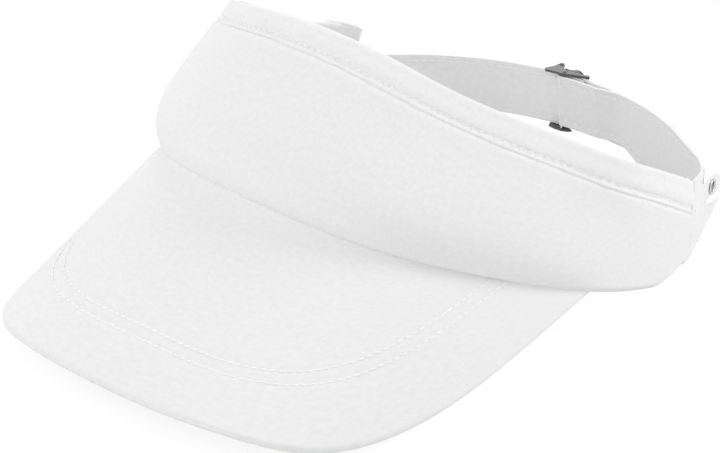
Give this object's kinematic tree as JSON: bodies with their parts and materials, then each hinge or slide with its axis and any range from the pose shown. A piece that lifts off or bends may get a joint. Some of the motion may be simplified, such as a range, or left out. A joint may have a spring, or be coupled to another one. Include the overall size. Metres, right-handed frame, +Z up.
{
  "type": "sun visor",
  "caption": "Open-topped cotton twill sun visor: a tall front band, an arched stiff brim and a back strap that closes in a metal clamp buckle.",
  "frame": {"origin": "centre of the bounding box on the surface that the visor rests on", "axes": "+Z up, the brim points to -Y, +X is to the wearer's left; the visor lies at rest on its brim and its buckle"},
  "size_m": [0.1904, 0.2511, 0.1017],
  "materials": {
    "white_twill": "matte",
    "terry": "matte",
    "interlining": "matte",
    "seam_tape": "matte",
    "board": "matte",
    "thread": "satin",
    "nickel": "polished",
    "steel": "satin"
  },
  "bodies": {
    "visor": {"front_panel": "white_twill", "top_binding": "white_twill", "near_end_hem": "white_twill", "far_end_hem": "white_twill", "brim_top_cover": "white_twill", "brim_under_cover": "white_twill", "brim_edge_seam": "white_twill", "buckle_tab": "white_twill", "tail_keeper": "white_twill", "crown_lining": "white_twill", "crown_interlining": "interlining", "brim_tongue": "seam_tape", "sweatband": "terry", "brim_board": "board", "eyelet": "nickel", "eyelet_washer": "nickel", "buckle_frame": "nickel", "tab_bar": "steel", "lever_pin": "steel", "binding_stitching": "thread", "brim_stitching": "thread", "tab_stitching": "thread"},
    "strap": {"adjusting_strap": "white_twill", "strap_stitching": "thread"},
    "lever": {"buckle_lever": "nickel"}
  },
  "joints": [
    {"name": "strap_slide", "type": "hinge", "parent": "visor", "child": "strap", "pos_m": [0, 0.03146, 0.02179], "axis": [0, 0.0741, 0.9973], "range_deg": [-16, 10]},
    {"name": "lever_hinge", "type": "hinge", "parent": "visor", "child": "lever", "pos_m": [-0.02335, 0.1209, 0.01545], "axis": [0, 0.0741, 0.9973], "range_deg": [0, 105]}
  ]
}
